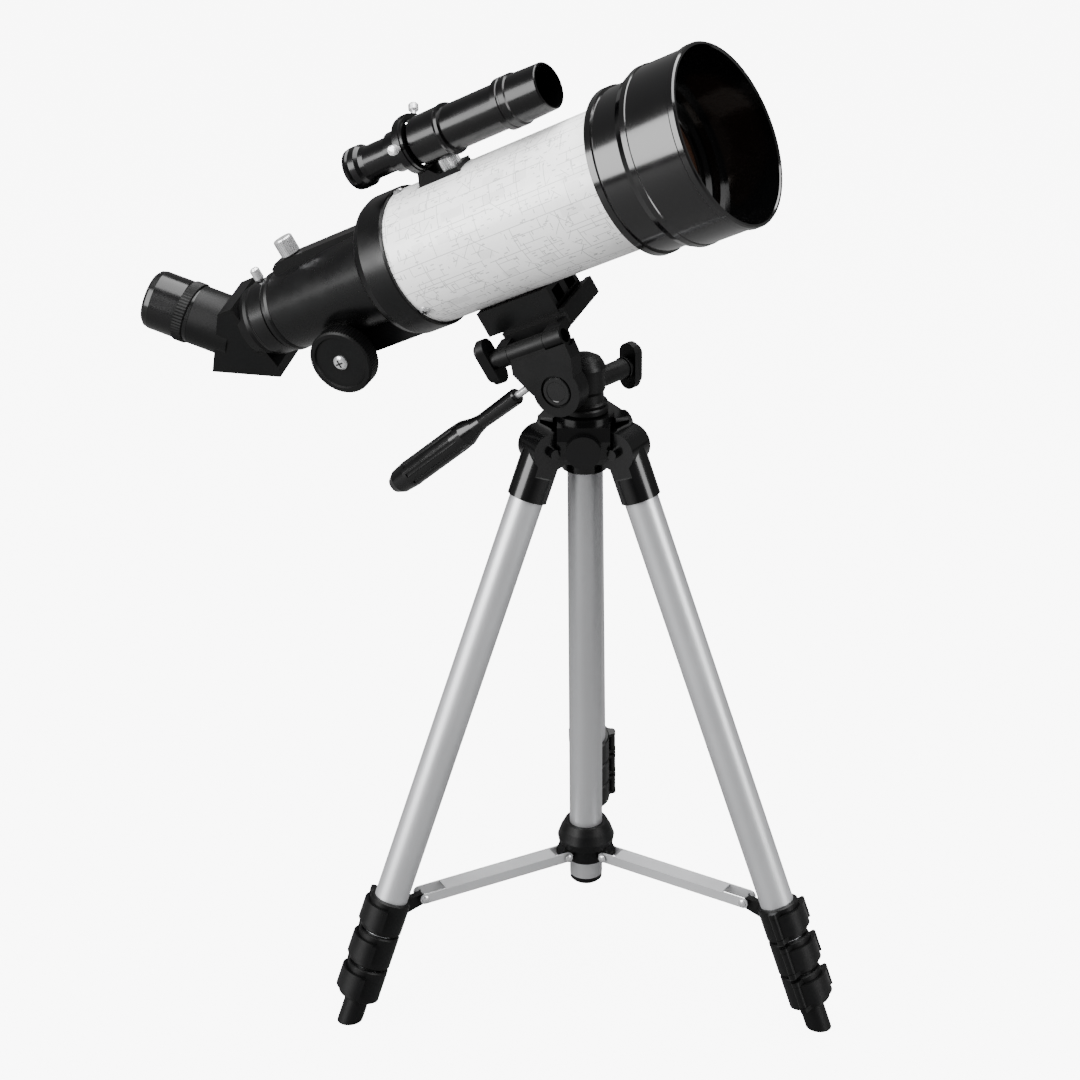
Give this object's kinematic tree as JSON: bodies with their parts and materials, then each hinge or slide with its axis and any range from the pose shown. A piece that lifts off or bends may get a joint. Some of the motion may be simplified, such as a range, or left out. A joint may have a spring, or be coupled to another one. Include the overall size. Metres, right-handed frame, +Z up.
{
  "type": "refracting telescope on tripod",
  "caption": "Small refracting telescope with finder, star diagonal and eyepiece on a pan and tilt head, with a folding, telescoping camera tripod.",
  "frame": {"origin": "on the floor, on the axis of the tripod's centre column", "axes": "+Z up along the column; the telescope looks forward, 26.5 degrees up, over +X turned 25.5 degrees towards -Y; the legs stand at 90, 210 and 330 degrees from +X"},
  "size_m": [0.421, 0.2647, 0.5782],
  "materials": {
    "white_paint": "gloss",
    "gloss_black": "gloss",
    "satin_black": "satin",
    "glass": "coated",
    "steel": "polished",
    "black_plastic": "satin",
    "grip": "matte",
    "silver": "satin anodised"
  },
  "bodies": {
    "crown": {"crown": "black_plastic", "hinge_pins": "black_plastic"},
    "column": {"column": "silver", "column_ends": "black_plastic"},
    "pan": {"pan_post": "black_plastic"},
    "pan_wing": {"pan_wing": "black_plastic"},
    "tilt": {"tilt_body": "black_plastic"},
    "handle": {"handle_rod": "silver", "handle_grip": "grip"},
    "side_wing": {"side_wing": "black_plastic"},
    "tube": {"optical_tube": "white_paint", "dew_shield": "gloss_black", "lens_cell": "gloss_black", "objective": "glass", "tube_screws": "steel", "focuser_body": "satin_black", "finder_scope": "gloss_black", "finder_bracket": "gloss_black", "finder_screws": "steel", "mounting_block": "satin_black", "camera_platform": "black_plastic", "camera_screw": "black_plastic"},
    "focus_lock": {"focus_lock": "steel"},
    "pinion": {"focus_shaft": "steel", "focus_knobs": "satin_black"},
    "drawtube": {"drawtube": "satin_black"},
    "nose_screw": {"nose_screw": "steel"},
    "diagonal": {"diagonal": "gloss_black"},
    "eyepiece": {"eyepiece": "gloss_black"},
    "hub": {"spreader_hub": "black_plastic"},
    "leg1": {"leg1_socket": "black_plastic", "leg1_tube": "silver", "leg1_lock": "black_plastic"},
    "leg1_mid": {"leg1_mid": "black_plastic"},
    "leg1_low": {"leg1_low": "black_plastic"},
    "leg1_end": {"leg1_end": "black_plastic"},
    "leg1_lever_a": {"leg1_lever_a": "black_plastic"},
    "leg1_lever_b": {"leg1_lever_b": "black_plastic"},
    "leg1_lever_c": {"leg1_lever_c": "black_plastic"},
    "arm1": {"arm1": "silver"},
    "leg2": {"leg2_socket": "black_plastic", "leg2_tube": "silver", "leg2_lock": "black_plastic"},
    "leg2_mid": {"leg2_mid": "black_plastic"},
    "leg2_low": {"leg2_low": "black_plastic"},
    "leg2_end": {"leg2_end": "black_plastic"},
    "leg2_lever_a": {"leg2_lever_a": "black_plastic"},
    "leg2_lever_b": {"leg2_lever_b": "black_plastic"},
    "leg2_lever_c": {"leg2_lever_c": "black_plastic"},
    "arm2": {"arm2": "silver"},
    "leg3": {"leg3_socket": "black_plastic", "leg3_tube": "silver", "leg3_lock": "black_plastic"},
    "leg3_mid": {"leg3_mid": "black_plastic"},
    "leg3_low": {"leg3_low": "black_plastic"},
    "leg3_end": {"leg3_end": "black_plastic"},
    "leg3_lever_a": {"leg3_lever_a": "black_plastic"},
    "leg3_lever_b": {"leg3_lever_b": "black_plastic"},
    "leg3_lever_c": {"leg3_lever_c": "black_plastic"},
    "arm3": {"arm3": "silver"}
  },
  "joints": [
    {"name": "column_slide", "type": "slide", "parent": "crown", "child": "column", "axis": [0, 0, 1], "range_m": [0, 0.2]},
    {"name": "pan_turn", "type": "hinge", "parent": "column", "child": "pan", "pos_m": [0, 0, 0], "axis": [0, 0, 1], "continuous": true},
    {"name": "pan_wing_turn", "type": "hinge", "parent": "pan", "child": "pan_wing", "pos_m": [0, 0, 0.378], "axis": [0.6428, 0.766, 0], "continuous": true},
    {"name": "tilt_turn", "type": "hinge", "parent": "pan", "child": "tilt", "pos_m": [-0.00361, 0.00172, 0.382], "axis": [-0.4305, -0.9026, 0], "range_deg": [-45, 20]},
    {"name": "handle_twist", "type": "hinge", "parent": "tilt", "child": "handle", "pos_m": [-0.03103, -0.00869, 0.37938], "axis": [-0.6863, 0.3274, -0.6494], "continuous": true},
    {"name": "side_tilt", "type": "hinge", "parent": "tilt", "child": "tube", "pos_m": [0.09555, -0.06886, 0.47249], "axis": [0.8078, -0.3853, 0.4462], "range_deg": [-10, 80]},
    {"name": "side_wing_turn", "type": "hinge", "parent": "tube", "child": "side_wing", "pos_m": [0.09555, -0.06886, 0.47249], "axis": [0.8078, -0.3853, 0.4462], "continuous": true},
    {"name": "focus_lock_turn", "type": "hinge", "parent": "tube", "child": "focus_lock", "pos_m": [-0.15921, 0.07594, 0.40205], "axis": [-0.4714, 0.0324, 0.8813], "continuous": true},
    {"name": "drawtube_slide", "type": "slide", "parent": "tube", "child": "drawtube", "axis": [-0.8078, 0.3853, -0.4462], "range_m": [0, 0.034]},
    {"name": "pinion_turn", "type": "hinge", "parent": "tube", "child": "pinion", "pos_m": [-0.12925, 0.06761, 0.38321], "axis": [0.354, 0.9222, 0.1554], "range_deg": [-290, 0]},
    {"name": "nose_screw_turn", "type": "hinge", "parent": "drawtube", "child": "nose_screw", "pos_m": [-0.18393, 0.08773, 0.3884], "axis": [-0.4714, 0.0324, 0.8813], "continuous": true},
    {"name": "diagonal_turn", "type": "hinge", "parent": "drawtube", "child": "diagonal", "pos_m": [-0.19717, 0.09405, 0.38108], "axis": [-0.8078, 0.3853, -0.4462], "continuous": true},
    {"name": "eyepiece_slide", "type": "slide", "parent": "diagonal", "child": "eyepiece", "axis": [-0.9361, 0.2044, 0.2863], "range_m": [0, 0.018]},
    {"name": "hub_slide", "type": "slide", "parent": "crown", "child": "hub", "axis": [0, 0, 1], "range_m": [0, 0.0701]},
    {"name": "leg_fold_1", "type": "hinge", "parent": "crown", "child": "leg1", "pos_m": [-0.02252, -0.013, 0.345], "axis": [0.5, -0.866, 0], "range_deg": [0, 14]},
    {"name": "leg1_mid_slide", "type": "slide", "parent": "leg1", "child": "leg1_mid", "axis": [-0.3181, -0.1837, -0.9301], "range_m": [0, 0.2]},
    {"name": "leg1_low_slide", "type": "slide", "parent": "leg1_mid", "child": "leg1_low", "axis": [-0.3181, -0.1837, -0.9301], "range_m": [0, 0.2]},
    {"name": "leg1_end_slide", "type": "slide", "parent": "leg1_low", "child": "leg1_end", "axis": [-0.3181, -0.1837, -0.9301], "range_m": [0, 0.2]},
    {"name": "leg1_lever_a_turn", "type": "hinge", "parent": "leg1", "child": "leg1_lever_a", "pos_m": [-0.12789, -0.05763, 0.06838], "axis": [-0.3181, -0.1837, -0.9301], "range_deg": [0, 95]},
    {"name": "leg1_lever_b_turn", "type": "hinge", "parent": "leg1_mid", "child": "leg1_lever_b", "pos_m": [-0.13504, -0.06176, 0.04745], "axis": [-0.3181, -0.1837, -0.9301], "range_deg": [0, 95]},
    {"name": "leg1_lever_c_turn", "type": "hinge", "parent": "leg1_low", "child": "leg1_lever_c", "pos_m": [-0.1422, -0.06589, 0.02652], "axis": [-0.3181, -0.1837, -0.9301], "range_deg": [0, 95]},
    {"name": "arm_fold_1", "type": "hinge", "parent": "hub", "child": "arm1", "pos_m": [-0.01342, -0.00775, 0.072], "axis": [0.5, -0.866, 0], "range_deg": [0, 90]},
    {"name": "leg_fold_2", "type": "hinge", "parent": "crown", "child": "leg2", "pos_m": [0.02252, -0.013, 0.345], "axis": [0.5, 0.866, 0], "range_deg": [0, 14]},
    {"name": "leg2_mid_slide", "type": "slide", "parent": "leg2", "child": "leg2_mid", "axis": [0.3181, -0.1837, -0.9301], "range_m": [0, 0.2]},
    {"name": "leg2_low_slide", "type": "slide", "parent": "leg2_mid", "child": "leg2_low", "axis": [0.3181, -0.1837, -0.9301], "range_m": [0, 0.2]},
    {"name": "leg2_end_slide", "type": "slide", "parent": "leg2_low", "child": "leg2_end", "axis": [0.3181, -0.1837, -0.9301], "range_m": [0, 0.2]},
    {"name": "leg2_lever_a_turn", "type": "hinge", "parent": "leg2", "child": "leg2_lever_a", "pos_m": [0.11385, -0.08194, 0.06838], "axis": [0.3181, -0.1837, -0.9301], "range_deg": [0, 95]},
    {"name": "leg2_lever_b_turn", "type": "hinge", "parent": "leg2_mid", "child": "leg2_lever_b", "pos_m": [0.12101, -0.08607, 0.04745], "axis": [0.3181, -0.1837, -0.9301], "range_deg": [0, 95]},
    {"name": "leg2_lever_c_turn", "type": "hinge", "parent": "leg2_low", "child": "leg2_lever_c", "pos_m": [0.12817, -0.0902, 0.02652], "axis": [0.3181, -0.1837, -0.9301], "range_deg": [0, 95]},
    {"name": "arm_fold_2", "type": "hinge", "parent": "hub", "child": "arm2", "pos_m": [0.01342, -0.00775, 0.072], "axis": [0.5, 0.866, 0], "range_deg": [0, 90]},
    {"name": "leg_fold_3", "type": "hinge", "parent": "crown", "child": "leg3", "pos_m": [0, 0.026, 0.345], "axis": [-1, 0, 0], "range_deg": [0, 14]},
    {"name": "leg3_mid_slide", "type": "slide", "parent": "leg3", "child": "leg3_mid", "axis": [0, 0.3673, -0.9301], "range_m": [0, 0.2]},
    {"name": "leg3_low_slide", "type": "slide", "parent": "leg3_mid", "child": "leg3_low", "axis": [0, 0.3673, -0.9301], "range_m": [0, 0.2]},
    {"name": "leg3_end_slide", "type": "slide", "parent": "leg3_low", "child": "leg3_end", "axis": [0, 0.3673, -0.9301], "range_m": [0, 0.2]},
    {"name": "leg3_lever_a_turn", "type": "hinge", "parent": "leg3", "child": "leg3_lever_a", "pos_m": [0.01403, 0.13957, 0.06838], "axis": [0, 0.3673, -0.9301], "range_deg": [0, 95]},
    {"name": "leg3_lever_b_turn", "type": "hinge", "parent": "leg3_mid", "child": "leg3_lever_b", "pos_m": [0.01403, 0.14783, 0.04745], "axis": [0, 0.3673, -0.9301], "range_deg": [0, 95]},
    {"name": "leg3_lever_c_turn", "type": "hinge", "parent": "leg3_low", "child": "leg3_lever_c", "pos_m": [0.01403, 0.1561, 0.02652], "axis": [0, 0.3673, -0.9301], "range_deg": [0, 95]},
    {"name": "arm_fold_3", "type": "hinge", "parent": "hub", "child": "arm3", "pos_m": [0, 0.0155, 0.072], "axis": [-1, 0, 0], "range_deg": [0, 90]}
  ],
  "couplings": [
    {"joint": "pinion_turn", "follows": "drawtube_slide", "rad_per_m": -142.86},
    {"joint": "hub_slide", "follows": "leg_fold_1", "m_per_rad": 0.28648},
    {"joint": "arm_fold_1", "follows": "leg_fold_1", "ratio": 6.4286},
    {"joint": "leg_fold_2", "follows": "leg_fold_1", "ratio": 1},
    {"joint": "arm_fold_2", "follows": "leg_fold_1", "ratio": 6.4286},
    {"joint": "leg_fold_3", "follows": "leg_fold_1", "ratio": 1},
    {"joint": "arm_fold_3", "follows": "leg_fold_1", "ratio": 6.4286}
  ]
}
